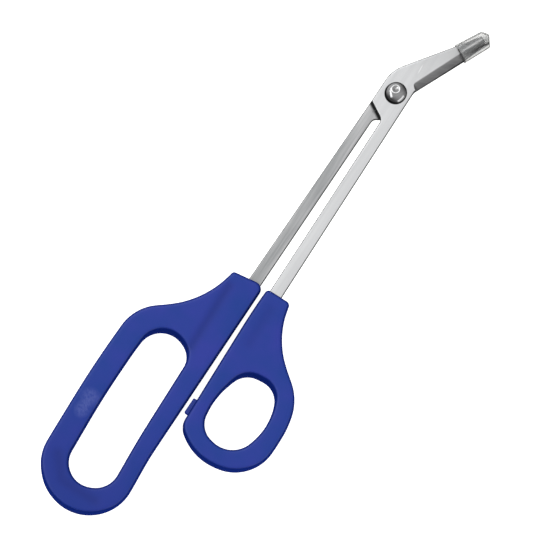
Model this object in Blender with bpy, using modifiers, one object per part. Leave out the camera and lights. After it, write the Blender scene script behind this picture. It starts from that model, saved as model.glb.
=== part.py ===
"""Long-handled toenail scissors, lying flat with their blades closed and a guard on the tips.

Frame: +Y runs along the shanks from the handles to the blades, +X points to the thumb
handle's side and +Z points up, to the rivet's domed head. The origin is on the pivot's
axis, in the plane of the rivet tail's flat back face, which the handles' backs share.
Lengths are in millimetres, and MM turns them into Blender's metres.
"""

import math

import bmesh
import bpy
from mathutils import Matrix, Vector

MM = 0.001
WELD = 0.000002              # metres: points closer than this are one point
NAME = "long_handled_toenail_scissors"

# Heights above the table
HANDLE_THICK = 8.0
HANDLE_EDGE = 1.3            # rounding along the handles' edges
STEEL_THICK = 2.2
BLADE_GAP = 0.2              # running gap between the two arms
MID_HEIGHT = HANDLE_THICK / 2
REAR_TOP = MID_HEIGHT - BLADE_GAP / 2
REAR_LOW = REAR_TOP - STEEL_THICK
FRONT_LOW = MID_HEIGHT + BLADE_GAP / 2
FRONT_TOP = FRONT_LOW + STEEL_THICK

# Pivot
PIVOT_SIDES = 48
RIVET_SHANK_R = 2.0
PIVOT_HOLE_R = 2.05
RIVET_HEAD_R = 4.15
RIVET_HEAD_HIGH = 1.75
RIVET_HEAD_RIM = 0.2
DOME_STEPS = 8
RIVET_TAIL_R = 3.0
RIVET_TAIL_HIGH = 1.0
RIVET_PLAY = 0.06            # end play beside the arms and the washer
WASHER_OUTER_R = 3.9
WASHER_INNER_R = 2.1

# Tangs inside the handles
FRONT_TANG_END = -118.0
REAR_TANG_END = -120.0
TANG_HOLE_R = 1.3
TANG_HOLE_STEPS = (8.0, 18.0)  # from the tang's end to each moulding hole
TANG_HOLE_SIDES = 24
SOCKET_GAP = 0.15
SOCKET_MOUTH = -86.0         # beyond the handles' collars

# Blades
BLADE_TILT = math.radians(27.5)  # from +Y towards +X
TAPER_START = 9.0            # from the pivot, along the blades
TAPER_END = 41.0
TAPER_DEPTH = 0.9            # thickness lost between the two
TAPER_SLOPE = math.atan(TAPER_DEPTH / (TAPER_END - TAPER_START))
GRIND_R = 12.0               # hollow grinding wheel
GRIND_OUTSIDE = 3.05         # its centre, beyond the cutting edge
GRIND_ABOVE = 10.45          # and above the blade's face
GRIND_START = 0.2            # from the heel, along the cutting edge
GRIND_LENGTH = 50.0
WHEEL_SIDES = 96
TAPER_LENGTH = 60.0          # cutting block, longer and deeper than what it takes away
TAPER_BLOCK = 8.0

# Tip guard, in its own frame: mouth at y = 0 and closed end at +y
GUARD_TILT = math.radians(26.5)
GUARD_MOUTH = (12.1, 26.3)
GUARD_WALL = 0.35
GUARD_HIGH = 5.0
GUARD_EDGE = 0.8
GUARD_END_HIGH = 0.88        # height at the closed end, as a share of the mouth's

# Stop lug on the thumb handle's inner side
LUG_CENTRE = (2.3, -144.6)
LUG_SIZE = (4.0, 6.8, 3.2)
LUG_EDGE = 0.7

# Outlines: x, y and corner radius, in order round each shape
ARC_STEP = math.radians(9)
FINGER_OUTLINE = [
    (-1.0, -90.3, 2.8), (-14.0, -92.2, 1.5), (-17.5, -108.3, 38), (-38.2, -124.8, 18.5),
    (-38.8, -153.5, 200), (-37.0, -199.4, 19.2), (2.0, -210.4, 18.4), (-1.0, -169.7, 75),
]
FINGER_SLOT = [
    (-27.8, -122.3, 9.4), (-9.7, -128.5, 8.5), (-8.7, -166.3, 200),
    (-7.2, -188.7, 9.5), (-26.6, -197.9, 9.6), (-29.1, -150.7, 200),
]
THUMB_OUTLINE = [
    (0.6, -90.7, 1.7), (11.0, -90.5, 1.6), (13.9, -104.5, 34), (25.7, -113.6, 19.8),
    (34.0, -120.0, 20.5), (37.0, -131.9, 37.5), (37.2, -156.5, 17.5), (12.4, -160.8, 21.8),
    (2.1, -153.4, 6.7), (0.4, -102.0, 200),
]
THUMB_HOLE = [
    (11.4, -122.5, 8.3), (24.5, -121.1, 8), (30.6, -133.6, 22),
    (25.7, -153.3, 10.5), (9.0, -149.8, 8.5), (6.8, -136.2, 30),
]
REAR_ARM = [
    (-1.9, -13.3, 2.3), (5.3, -9.2, 0.6), (5.5, 4.0, 5), (14.9, 24.6, 12),
    (18.35, 34.6, 0.7), (16.3, 36.2, 0.7), (-5.2, 6.8, 2), (-6.2, 5.0, 1.5),
    (-7.9, REAR_TANG_END, 1.0), (-2.5, REAR_TANG_END, 1.0),
]
FRONT_ARM = [
    (1.05, -11.9, 2.7), (-6.2, -7.8, 0.6), (-6.2, 6.4, 14), (15.4, 36.5, 0.9),
    (17.9, 35.5, 0.9), (14.5, 24.8, 12), (5.6, 4.2, 1.5),
    (7.5, FRONT_TANG_END, 1.0), (2.2, FRONT_TANG_END, 1.0),
]
GUARD_OUTLINE = [
    (-4.0, -2.0, 0), (-3.5, 11.5, 0.8), (-1.0, 13.6, 0.9), (3.55, 11.4, 1.0), (4.0, -2.0, 0),
]
FRONT_EDGE = ((5.9, 4.6), (14.5, 24.8))   # cutting edges, from heel to tip
REAR_EDGE = ((-3.9, 8.7), (10.0, 27.6))


def make_collection(name):
    """A new collection in the scene."""
    collection = bpy.data.collections.new(name)
    bpy.context.scene.collection.children.link(collection)
    return collection


def put_in(obj, collection):
    """Move an object into one collection only."""
    for old in list(obj.users_collection):
        old.objects.unlink(obj)
    collection.objects.link(obj)
    return obj


# ---------------------------------------------------------------- outlines

def corner_arc(before, corner, after, radius):
    """Points of the arc that rounds a corner."""
    to_before = (before - corner).normalized()
    to_after = (after - corner).normalized()
    angle = to_before.angle(to_after)
    if radius <= 0 or angle > math.radians(179.9):
        return [corner]
    centre = corner + (to_before + to_after).normalized() * radius / math.sin(angle / 2)
    reach = radius / math.tan(angle / 2)
    start = corner + to_before * reach - centre
    turn = math.pi - angle
    steps = math.ceil(turn / ARC_STEP)
    if to_before.cross(to_after) > 0:
        turn = -turn
    arc = []
    for step in range(steps + 1):
        arc.append(centre + Matrix.Rotation(turn * step / steps, 2) @ start)
    return arc


def rounded(corners):
    """A closed outline with round corners, from (x, y, radius) corners."""
    places = [Vector(corner[:2]) for corner in corners]
    outline = []
    for index, place in enumerate(places):
        after = places[(index + 1) % len(places)]
        outline += corner_arc(places[index - 1], place, after, corners[index][2])
    return outline


def circle(x, y, radius, sides):
    """A closed round outline."""
    outline = []
    for side in range(sides):
        angle = 2 * math.pi * side / sides
        outline.append(Vector((x + radius * math.cos(angle), y + radius * math.sin(angle))))
    return outline


def flat_plate(name, outlines, low, high, edge=0.0):
    """A flat outline with its holes, as a closed mesh between two heights."""
    curve = bpy.data.curves.new(name + "_outline", "CURVE")
    curve.dimensions = "2D"
    curve.fill_mode = "BOTH"
    curve.extrude = ((high - low) / 2 - edge) * MM
    curve.bevel_depth = edge * MM
    curve.bevel_resolution = 1
    curve.offset = -edge * MM
    for outline in outlines:
        spline = curve.splines.new("POLY")
        spline.points.add(len(outline) - 1)
        spline.use_cyclic_u = True
        for point, place in zip(spline.points, outline):
            point.co = (place.x * MM, place.y * MM, 0, 1)
    flat = bpy.data.objects.new(name + "_outline", curve)
    flat.location.z = (low + high) / 2 * MM
    bpy.context.scene.collection.objects.link(flat)
    depsgraph = bpy.context.evaluated_depsgraph_get()
    mesh = bpy.data.meshes.new_from_object(flat.evaluated_get(depsgraph))
    solid = bpy.data.objects.new(name, mesh)
    solid.matrix_world = flat.matrix_world
    bpy.data.objects.remove(flat)
    shape = bmesh.new()
    shape.from_mesh(mesh)
    bmesh.ops.remove_doubles(shape, verts=shape.verts, dist=WELD)
    shape.to_mesh(mesh)
    shape.free()
    mesh.transform(solid.matrix_world)
    solid.matrix_world = Matrix.Identity(4)
    return solid


def turned(name, profile, ring=False):
    """A round piece on the Z axis, from (radius, height) points that run down its outside."""
    mesh = bpy.data.meshes.new(name)
    spots = [(radius * MM, 0, height * MM) for radius, height in profile]
    links = [(index, index + 1) for index in range(len(spots) - 1)]
    if ring:
        links.append((len(spots) - 1, 0))
    mesh.from_pydata(spots, links, [])
    piece = bpy.data.objects.new(name, mesh)
    screw = piece.modifiers.new("turn", "SCREW")
    screw.steps = PIVOT_SIDES
    screw.render_steps = PIVOT_SIDES
    screw.use_merge_vertices = True
    screw.merge_threshold = WELD
    return piece


def finish(piece, collection, material):
    """Give a part its material and smooth shading, and put it in its collection."""
    put_in(piece, collection)
    piece.data.materials.clear()
    piece.data.materials.append(material)
    piece.data.shade_smooth()
    piece.data.set_sharp_from_angle(angle=math.radians(35))
    return piece


def cut(piece, cutter, operation="DIFFERENCE"):
    """Cut a part with a cutter, or join a lump to it."""
    change = piece.modifiers.new(cutter.name, "BOOLEAN")
    change.operation = operation
    change.object = cutter


def as_cutter(cutter, collection):
    """Keep a cutting shape out of renders, in the cutters' collection."""
    put_in(cutter, collection)
    cutter.hide_render = True
    cutter.display_type = "WIRE"
    return cutter


# ---------------------------------------------------------------- materials

def make_material(name, color, roughness, metallic, alpha=1.0):
    """A Principled material."""
    material = bpy.data.materials.new(name)
    material.use_nodes = True
    shader = material.node_tree.nodes["Principled BSDF"]
    shader.inputs["Base Color"].default_value = (*color, 1)
    shader.inputs["Roughness"].default_value = roughness
    shader.inputs["Metallic"].default_value = metallic
    shader.inputs["Alpha"].default_value = alpha
    return material


# ---------------------------------------------------------------- steel arms

def tang_holes(arm, tang_end, radius):
    """The two moulding holes on the centre line of an arm's tang."""
    tang_x = (arm[-1][0] + arm[-2][0]) / 2
    return [circle(tang_x, tang_end + step, radius, TANG_HOLE_SIDES) for step in TANG_HOLE_STEPS]


def make_arm(name, arm, low, tang_end):
    """One steel blank: tang, shank, pivot plate and blade."""
    pivot_hole = circle(0, 0, PIVOT_HOLE_R, PIVOT_SIDES)
    outlines = [rounded(arm), pivot_hole] + tang_holes(arm, tang_end, TANG_HOLE_R)
    return flat_plate(name, outlines, low, low + STEEL_THICK)


def taper_cutter(name, face, side):
    """A block that thins a blade's outer face towards the tip. side is +1 above, -1 below."""
    bpy.ops.mesh.primitive_cube_add(size=1)
    block = bpy.context.active_object
    block.name = name
    start = Vector((math.sin(BLADE_TILT), math.cos(BLADE_TILT), 0)) * TAPER_START
    place = Matrix.Translation((start + Vector((0, 0, face))) * MM)
    turn = Matrix.Rotation(-BLADE_TILT, 4, "Z") @ Matrix.Rotation(-side * TAPER_SLOPE, 4, "X")
    shift = Matrix.Translation(Vector((0, TAPER_LENGTH / 3, side * TAPER_BLOCK / 2)) * MM)
    grow = Matrix.Diagonal((TAPER_LENGTH * MM, TAPER_LENGTH * MM, TAPER_BLOCK * MM, 1))
    block.data.transform(place @ turn @ shift @ grow)
    return block


def grind_cutter(name, edge, outside, face, side):
    """The grinding wheel, as a long cylinder that leaves the hollow beside a cutting edge."""
    heel, tip = Vector((*edge[0], 0)), Vector((*edge[1], 0))
    along = (tip - heel).normalized()
    across = Vector((along.y, -along.x, 0)) * outside
    above = Vector((0, 0, face + side * GRIND_ABOVE))
    start = heel + along * GRIND_START + across * GRIND_OUTSIDE + above
    path = along * math.cos(TAPER_SLOPE) + Vector((0, 0, -side)) * math.sin(TAPER_SLOPE)
    bpy.ops.mesh.primitive_cylinder_add(
        vertices=WHEEL_SIDES, radius=GRIND_R * MM, depth=GRIND_LENGTH * MM)
    wheel = bpy.context.active_object
    wheel.name = name
    turn = path.to_track_quat("Z", "Y").to_matrix().to_4x4()
    middle = start + path * GRIND_LENGTH / 2
    wheel.data.transform(Matrix.Translation(middle * MM) @ turn)
    return wheel


# ---------------------------------------------------------------- handles

def make_handle(name, outline, hole):
    """A moulded loop handle with rounded edges."""
    return flat_plate(name, [rounded(outline), rounded(hole)], 0, HANDLE_THICK, HANDLE_EDGE)


def socket_cutter(name, arm, low, tang_end):
    """The space that the tang fills, with a post left standing in each moulding hole."""
    end = tang_end - SOCKET_GAP
    mouth_left, mouth_right = shank_sides(arm, SOCKET_MOUTH)
    end_left, end_right = shank_sides(arm, end)
    corners = [
        Vector((mouth_left - SOCKET_GAP, SOCKET_MOUTH)), Vector((end_left - SOCKET_GAP, end)),
        Vector((end_right + SOCKET_GAP, end)), Vector((mouth_right + SOCKET_GAP, SOCKET_MOUTH)),
    ]
    posts = tang_holes(arm, tang_end, TANG_HOLE_R - SOCKET_GAP)
    return flat_plate(name, [corners] + posts, low - SOCKET_GAP, low + STEEL_THICK + SOCKET_GAP)


def shank_sides(arm, y):
    """Where the shank's two straight sides are at a given y, from left to right."""
    sides = []
    for top, bottom in ((arm[0], arm[-1]), (arm[-3], arm[-2])):
        share = (y - bottom[1]) / (top[1] - bottom[1])
        sides.append(bottom[0] + share * (top[0] - bottom[0]))
    return sorted(sides)


def make_lug(name):
    """The stop that meets the finger handle when the blades close."""
    bpy.ops.mesh.primitive_cube_add(size=1)
    lug = bpy.context.active_object
    lug.name = name
    grow = Matrix.Diagonal([size * MM for size in LUG_SIZE] + [1])
    place = Matrix.Translation(Vector((*LUG_CENTRE, MID_HEIGHT)) * MM)
    lug.data.transform(place @ grow)
    soften = lug.modifiers.new("edges", "BEVEL")
    soften.width = LUG_EDGE * MM
    soften.segments = 2
    return lug


# ---------------------------------------------------------------- pivot and guard

def make_rivet(name):
    """Domed head on top, shank through both arms, flat tail below."""
    base = FRONT_TOP + RIVET_PLAY
    dome = RIVET_HEAD_HIGH - RIVET_HEAD_RIM
    ball = (RIVET_HEAD_R ** 2 + dome ** 2) / (2 * dome)
    reach = math.asin(RIVET_HEAD_R / ball)
    profile = []
    for step in range(DOME_STEPS + 1):
        angle = reach * step / DOME_STEPS
        height = base + RIVET_HEAD_HIGH - ball * (1 - math.cos(angle))
        profile.append((ball * math.sin(angle), height))
    profile += [
        (RIVET_HEAD_R, base), (RIVET_SHANK_R, base), (RIVET_SHANK_R, RIVET_TAIL_HIGH),
        (RIVET_TAIL_R, RIVET_TAIL_HIGH), (RIVET_TAIL_R, 0), (0, 0),
    ]
    return turned(name, profile)


def make_washer(name):
    """A flat ring between the rivet's tail and the rear arm."""
    low, high = RIVET_TAIL_HIGH + RIVET_PLAY, REAR_LOW - RIVET_PLAY
    profile = [
        (WASHER_INNER_R, high), (WASHER_OUTER_R, high),
        (WASHER_OUTER_R, low), (WASHER_INNER_R, low),
    ]
    return turned(name, profile, ring=True)


def make_guard(name):
    """A soft sleeve, closed at the tip, from an open surface that Solidify thickens inwards."""
    low, high = MID_HEIGHT - GUARD_HIGH / 2, MID_HEIGHT + GUARD_HIGH / 2
    guard = flat_plate(name, [rounded(GUARD_OUTLINE)], low, high, GUARD_EDGE)
    shape = bmesh.new()
    shape.from_mesh(guard.data)
    every_part = list(shape.verts) + list(shape.edges) + list(shape.faces)
    bmesh.ops.bisect_plane(shape, geom=every_part, plane_co=(0, 0, 0), plane_no=(0, -1, 0),
                           clear_outer=True)
    length = max(corner[1] for corner in GUARD_OUTLINE) * MM
    middle = MID_HEIGHT * MM
    for vert in shape.verts:
        share = 1 + (GUARD_END_HIGH - 1) * vert.co.y / length
        vert.co.z = middle + (vert.co.z - middle) * share
    bmesh.ops.recalc_face_normals(shape, faces=shape.faces)
    shape.to_mesh(guard.data)
    shape.free()
    wall = guard.modifiers.new("wall", "SOLIDIFY")
    wall.thickness = GUARD_WALL * MM
    wall.offset = -1
    wall.use_even_offset = True
    guard.location = (GUARD_MOUTH[0] * MM, GUARD_MOUTH[1] * MM, 0)
    guard.rotation_euler.z = -GUARD_TILT
    return guard


# ---------------------------------------------------------------- assembly

def build():
    """Make every part in an empty scene."""
    for obj in list(bpy.data.objects):
        bpy.data.objects.remove(obj)
    parts = make_collection(NAME)
    cutters = make_collection("cutters")

    blue = make_material("blue_plastic", (0.025, 0.05, 0.30), 0.45, 0)
    rear_steel = make_material("rear_steel", (0.42, 0.42, 0.43), 0.35, 1)
    front_steel = make_material("front_steel", (0.62, 0.62, 0.61), 0.30, 1)
    polished = make_material("polished_steel", (0.70, 0.70, 0.70), 0.12, 1)
    plain = make_material("plain_steel", (0.50, 0.50, 0.50), 0.40, 1)
    clear = make_material("clear_plastic", (0.75, 0.76, 0.76), 0.25, 0, alpha=0.4)

    rear_arm = make_arm("rear_arm", REAR_ARM, REAR_LOW, REAR_TANG_END)
    front_arm = make_arm("front_arm", FRONT_ARM, FRONT_LOW, FRONT_TANG_END)
    for arm, edge, outside, face, side in (
            (rear_arm, REAR_EDGE, -1, REAR_LOW, -1), (front_arm, FRONT_EDGE, 1, FRONT_TOP, 1)):
        cut(arm, as_cutter(taper_cutter(arm.name + "_taper", face, side), cutters))
        cut(arm, as_cutter(grind_cutter(arm.name + "_grind", edge, outside, face, side), cutters))

    finger_handle = make_handle("finger_handle", FINGER_OUTLINE, FINGER_SLOT)
    rear_socket = socket_cutter("rear_socket", REAR_ARM, REAR_LOW, REAR_TANG_END)
    cut(finger_handle, as_cutter(rear_socket, cutters))

    thumb_handle = make_handle("thumb_handle", THUMB_OUTLINE, THUMB_HOLE)
    cut(thumb_handle, as_cutter(make_lug("stop_lug"), cutters), "UNION")
    front_socket = socket_cutter("front_socket", FRONT_ARM, FRONT_LOW, FRONT_TANG_END)
    cut(thumb_handle, as_cutter(front_socket, cutters))

    finish(finger_handle, parts, blue)
    finish(thumb_handle, parts, blue)
    finish(rear_arm, parts, rear_steel)
    finish(front_arm, parts, front_steel)
    finish(make_rivet("pivot_rivet"), parts, polished)
    finish(make_washer("rivet_washer"), parts, plain)
    finish(make_guard("tip_guard"), parts, clear)

    pivot = bpy.data.objects.new("scissor_pivot", None)
    parts.objects.link(pivot)
    front_arm.parent = pivot
    thumb_handle.parent = pivot


build()
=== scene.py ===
"""Looks for the long-handled toenail scissors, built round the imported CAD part.

The arms' and handles' outlines are read from the CAD nodes, and the other pieces fit their
nodes' boxes or repeat the CAD part's sizes, so all of them keep its dimensions. +Y runs from
the handles to the blades, +X points to the thumb handle's side and +Z points up from the
table. Lengths are in metres, written as so many MM.
"""

import math

import bmesh
import bpy
import numpy as np
from mathutils import Matrix, Vector, geometry
from numpy.linalg import norm


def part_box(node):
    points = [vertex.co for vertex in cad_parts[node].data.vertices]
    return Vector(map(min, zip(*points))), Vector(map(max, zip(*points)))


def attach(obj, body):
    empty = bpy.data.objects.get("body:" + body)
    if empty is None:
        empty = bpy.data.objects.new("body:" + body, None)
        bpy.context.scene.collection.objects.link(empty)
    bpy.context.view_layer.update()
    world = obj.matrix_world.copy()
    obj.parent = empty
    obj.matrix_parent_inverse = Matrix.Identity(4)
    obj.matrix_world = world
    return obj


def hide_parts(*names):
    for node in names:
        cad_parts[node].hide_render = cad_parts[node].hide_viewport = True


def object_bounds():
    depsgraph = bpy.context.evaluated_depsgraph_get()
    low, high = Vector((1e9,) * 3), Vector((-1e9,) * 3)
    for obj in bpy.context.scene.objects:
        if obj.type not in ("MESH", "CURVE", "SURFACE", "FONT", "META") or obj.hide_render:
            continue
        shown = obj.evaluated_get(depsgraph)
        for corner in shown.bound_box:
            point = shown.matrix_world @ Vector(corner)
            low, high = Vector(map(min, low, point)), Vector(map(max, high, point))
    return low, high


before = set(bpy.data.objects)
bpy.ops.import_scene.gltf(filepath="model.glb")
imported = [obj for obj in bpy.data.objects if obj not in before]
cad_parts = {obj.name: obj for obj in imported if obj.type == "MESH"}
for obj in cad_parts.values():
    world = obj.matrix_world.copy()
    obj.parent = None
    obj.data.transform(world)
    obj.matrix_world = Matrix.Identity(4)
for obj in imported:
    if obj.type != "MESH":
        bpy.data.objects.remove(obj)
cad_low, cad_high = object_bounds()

MM = 0.001
MID_HEIGHT = 4.0 * MM         # between the two arms, and half way up the handles
UP = Vector((0, 0, 1))

# Meshes
TINY = 1e-7                   # metres: points this close are in one place
NO_AREA = 1e-14               # square metres
WELD = 0.002 * MM
NEAREST = 0.04 * MM           # outline points closer than this are one corner
STRAIGHT = math.radians(0.15)   # an outline that turns by less is straight
STEP = 0.5 * MM               # between points along a refined outline
BATCH = 500                   # points compared with an outline at a time
GRID_ROW = 0.87               # between rows of a face's grid, as a share of its spacing
GRID_CLEAR = 0.45             # and between the grid and the points round it
SUPPORT_CLEAR = 0.8           # least share of its distance from a rim that a line keeps
TURNED_SIDES = 144

# Moulded handles
HANDLE_BACK_ROUND = 1.1 * MM  # rounding of the back edges
HANDLE_FACE_ROUND = 1.3 * MM  # rounding of the front edges, across
HANDLE_FACE_DROP = 1.25 * MM  # and down
HANDLE_DRAFT = 0.12 * MM      # how far the walls lean in from the parting line
HANDLE_GRID = 1.0 * MM
HANDLE_SUPPORT = 0.4 * MM     # from the rounding to the face's first line of points
HANDLE_UPRIGHT = 0.75         # faces that lean upwards by less are walls
CROWN = 0.18 * MM             # swell of the front face
CROWN_REACH = 3.4 * MM        # from the walls to where the face is level
PARTING_LINE = 0.05 * MM
SOCKET_GAP = 0.08 * MM        # round the tangs
SOCKET_GRID = 20 * MM
RIM_REACH = 1.6 * MM          # how far the painted shade at the edges reaches
SECTION_ABOVE_BACK = 1.42 * MM  # a height at which the walls are straight and whole

# Walls that slant at the loops' ends, where the front face is set back, fading along Y
SLANT_HOLE = 1.35 * MM        # at each hole's end towards the blades
SLANT_OUTER = 0.8 * MM        # at each loop's far end
SLANT_NONE, SLANT_FULL = 15 * MM, 5 * MM    # distances from that end
SLANT_REACH = 9 * MM          # how far into the face the slant is taken up

# Shallow hollows that moulding leaves in the front faces: start, end, radius and depth, in mm
FINGER_SINKS = [
    ((-12.2, -98.0), (-11.4, -127.0), 1.8, 0.13),
    ((-31.0, -188.0), (-24.0, -195.5), 2.2, 0.14),
    ((-24.0, -195.5), (-9.5, -195.5), 2.2, 0.14),
]
THUMB_SINKS = [((6.0, -97.0), (6.5, -112.0), 2.2, 0.06)]
SINK_DEEPEST = max(mark[3] for mark in FINGER_SINKS)
SINK_BELOW = 0.6 * MM         # points further below the face aren't part of it

# Stop lug on the thumb handle
LUG_CENTRE = Vector((2.3, -144.6, 4.0)) * MM
LUG_SIZE = Vector((4.0, 6.8, 3.2)) * MM
LUG_EDGE = 0.6 * MM

# Steel arms
STEEL_EDGE = 0.42 * MM
STEEL_GRID = 1.5 * MM
STEEL_UPRIGHT = 0.95          # faces that lean upwards by less are walls or edges
WHOLE_LAYER = 0.1 * MM        # below this, from the inner face, no grinding reaches
SHADOW_BESIDE_REACH = 1.7 * MM      # how far the painted shadow beside the front arm spreads
BLADE_TILT = math.radians(27.5)
BLADE_WAY = Vector((math.sin(BLADE_TILT), math.cos(BLADE_TILT), 0))
TAPER_START = 9.0 * MM
TAPER_SLOPE = 0.9 / 32.0
GRIND_R = 12.0 * MM           # the wheel that hollows a blade
GRIND_OUTSIDE = 3.05 * MM     # its centre, beyond the cutting edge
GRIND_ABOVE = 10.45 * MM      # and above the blade's face
GRIND_START = 0.2 * MM        # from the heel, along the cutting edge
GRIND_LENGTH = 50.0 * MM
GRIND_ROUND = 1.6 * MM        # rounding at the wheel's rim
GRIND_SIDES = 360
GRIND_SOFT = 0.18 * MM        # how deep the grind is where its painted dark reflection is full
FRONT_EDGE = (Vector((5.9, 4.6, 0)) * MM, Vector((14.5, 24.8, 0)) * MM)    # from heel to tip
REAR_EDGE = (Vector((-3.9, 8.7, 0)) * MM, Vector((10.0, 27.6, 0)) * MM)

# Rivet and washer
HEAD_GAP = 0.06 * MM
SKIRT_IN = 0.38 * MM          # the head's steep edge in painted shade, across
SKIRT_HIGH = 0.45 * MM        # and up
SKIRT_ANGLES = range(50, 91, 8)   # degrees down from the edge's top
DENT_CENTRE = (-0.94 * MM, 0.98 * MM)
DENT_R = 1.2 * MM
DENT_DEEP = 0.72 * MM
RIVET_SHANK_R = 2.0 * MM
TAIL_R = 3.0 * MM
TAIL_HIGH = 1.0 * MM
TAIL_BREAK = 0.15 * MM        # broken edge of its inner face
TAIL_ROUND = 0.25 * MM        # and rounding of its outer one
TAIL_HOLLOW = [(1.25, 0.0), (1.1, 0.05), (0.9, 0.22), (0.0, 0.3)]   # mm: radius, depth
WASHER_INNER_R = 2.1 * MM
WASHER_ROUND = 0.1 * MM

# Tip guard, in its own frame: mouth at y = 0 and closed end at +y
GUARD_MOUTH = Vector((12.1, 26.3, 4.0)) * MM
GUARD_TILT = math.radians(26.5)
GUARD_WALL = 0.35 * MM
GUARD_ROUND = 1.9 * MM        # rounding of its edges, across
GUARD_DROP = 1.5 * MM         # and down
GUARD_END_HIGH = 0.88         # height at the closed end, as a share of the mouth's
GUARD_CORNERS = [(4.0, -2.0, 0.3), (3.55, 11.4, 1.0), (-1.0, 13.6, 0.9), (-3.5, 11.5, 0.8),
                 (-4.0, -2.0, 0.3)]    # mm: x, y and radius
GUARD_LEAST_R = 0.25 * MM     # the least that a corner's radius becomes
GUARD_GRID = 0.35 * MM
GUARD_SUPPORT = 0.2 * MM
GUARD_CLEAN = 1.0 * MM        # width of the clean, bright strip at each side
GUARD_UPRIGHT = 0.34          # faces that lean upwards by less get painted shade, where the walls turn edge-on
LIP_LONG = 0.9 * MM           # the mouth's flared lip, along the sleeve
LIP_FLARE = 0.05              # and how much wider it is
LIP_EDGE = 0.4 * MM           # width of the painted shade along its cut edge
LIP_DARK_FROM = -1.75 * MM    # which starts this far across the sleeve
FOLD_ACROSS = 1.9 * MM        # the fold along the sleeve, from its middle
FOLD_FROM = 1.5 * MM          # where it starts, from the mouth
FOLD_FULL = 9.0 * MM          # and where it has its full depth
FOLD_R = 0.42 * MM
FOLD_DEEP = 0.3 * MM

# Patches of other colour, in mm: centre and half size
RUBBED_HIGH = ((-32.6, -163.0), (4.8, 4.2))
RUBBED_LOW = ((-32.8, -168.4), (3.6, 4.2))
RUBBED_HEIGHTS = (5.0 * MM, 6.5 * MM)    # between which the wear sets in
SCRATCH = ((2.7, 12.7), (0.25, 2.4))
# painted shadow round the rivet's head, a little off centre towards -Y
RIVET_SHADOW = ((-0.1, -0.45), (4.35, 4.35))
GUARD_CLOUD = ((14.2, 31.4), (0.7, 6.5))
# Painted dusky patches, standing for the blade's dark grind seen through the guard's curved side,
# and their shares
GUARD_DUSKS = [
    (((16.6, 31.5), (1.15, 6.2)), 0.85),
    (((17.5, 36.5), (2.6, 2.0)), 0.4),
    (((13.7, 33.9), (1.3, 5.6)), 0.45),
]

# Colours
BLUE = ((0.001, 0.029, 0.243), (0.013, 0.028, 0.277))    # mottled between the two
BLUE_FAR = (0.0, 0.018, 0.210)    # painted shade at the loops' far ends
# painted shade in the moulding hollows
BLUE_HOLLOW = (0.0, 0.014, 0.180)
# painted shade on the handles' rounded edges
BLUE_EDGE = (0.0, 0.007, 0.080)
# painted shade on the handles' walls near the edges
BLUE_WALL_EDGE = (0.005, 0.016, 0.145)
BLUE_WORN = (0.10, 0.13, 0.40)
PAINTED_SHADOW = (0.008, 0.009, 0.009)       # painted shadow, beside the front arm and under the rivet's head
SCRATCHED = (0.92,) * 3
# painted: the blade's dark grind as seen through the guard
DUSK = (0.30,) * 3
# painted shade along the guard's fold
FOLD_SHADE = (0.03,) * 3

# Studio
CAMERA_AWAY = 3.0
CAMERA_LEAN = math.radians(6.5)
PICTURE_WIDTH = 204.7 * MM
PICTURE_TURN = math.radians(33.55)   # the picture's upright, from +Y towards -X
PICTURE_SHIFT = Vector((-3.76, -0.90, 0)) * MM    # its middle, from the part's
IMAGE_UP = Vector((-math.sin(PICTURE_TURN), math.cos(PICTURE_TURN), 0))
IMAGE_RIGHT = Vector((math.cos(PICTURE_TURN), math.sin(PICTURE_TURN), 0))
SKY_TOP = (UP * 0.94 + IMAGE_UP * 0.34).normalized()
SKY_FALL = (0.1, 0.85, 0.3, 0.95)    # two cosines of the angle from SKY_TOP, and strengths
SKY_PALE_WAY = (IMAGE_RIGHT - IMAGE_UP).normalized()
SKY_DIM_WAY = (IMAGE_RIGHT + IMAGE_UP).normalized()
SKY_QUARTERS = 0.45           # how much paler and dimmer it gets those ways
SKY_LEAST = 0.15
LAMPS = [    # name, place from the target, upright direction, width and height in metres, watts
    ("tall_key", UP * 1.2 - IMAGE_RIGHT * 0.87, IMAGE_UP, 0.42, 1.4, 6),
    ("top_strip", UP * 1.2 - IMAGE_RIGHT * 0.25 + IMAGE_UP * 0.85, IMAGE_UP, 0.9, 0.36, 3),
    ("low_strip", UP * 0.88 + SKY_PALE_WAY * 1.3, UP, 1.6, 0.34, 3.6),
]
FLOOR_HALF = 6.0
FLOOR_BELOW = 0.05 * MM       # so that the two don't share a plane


# -------- outlines from the CAD nodes

def every_part(shape):
    """A bmesh's points, edges and faces."""
    return list(shape.verts) + list(shape.edges) + list(shape.faces)


def section_loops(node, height):
    """A CAD node's section at a height, as closed loops of (x, y) with the longest first."""
    shape = bmesh.new()
    shape.from_mesh(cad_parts[node].data)
    bmesh.ops.remove_doubles(shape, verts=shape.verts, dist=WELD)
    made = bmesh.ops.bisect_plane(
        shape, geom=every_part(shape), dist=TINY, plane_co=(0, 0, height), plane_no=UP)
    cut_edges = [part for part in made["geom_cut"] if isinstance(part, bmesh.types.BMEdge)]
    beside = {}
    for edge in cut_edges:
        for vert in edge.verts:
            beside.setdefault(vert, []).append(edge.other_vert(vert))
    loops = []
    while beside:
        start = min(beside, key=lambda vert: vert.co.y)
        loop, here, last = [], start, None
        while here in beside:
            loop.append(here.co.xy.copy())
            following = [vert for vert in beside.pop(here) if vert is not last]
            last, here = here, following[0]
        loops.append(without_flat_points(np.array(loop)))
    shape.free()
    return sorted(loops, key=lambda loop: -loop_length(loop))


def loop_length(loop):
    return norm(np.roll(loop, -1, axis=0) - loop, axis=1).sum()


def loop_area(loop):
    """Signed area: above zero where the loop runs counter-clockwise."""
    after = np.roll(loop, -1, axis=0)
    return (loop[:, 0] * after[:, 1] - loop[:, 1] * after[:, 0]).sum() / 2


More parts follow.
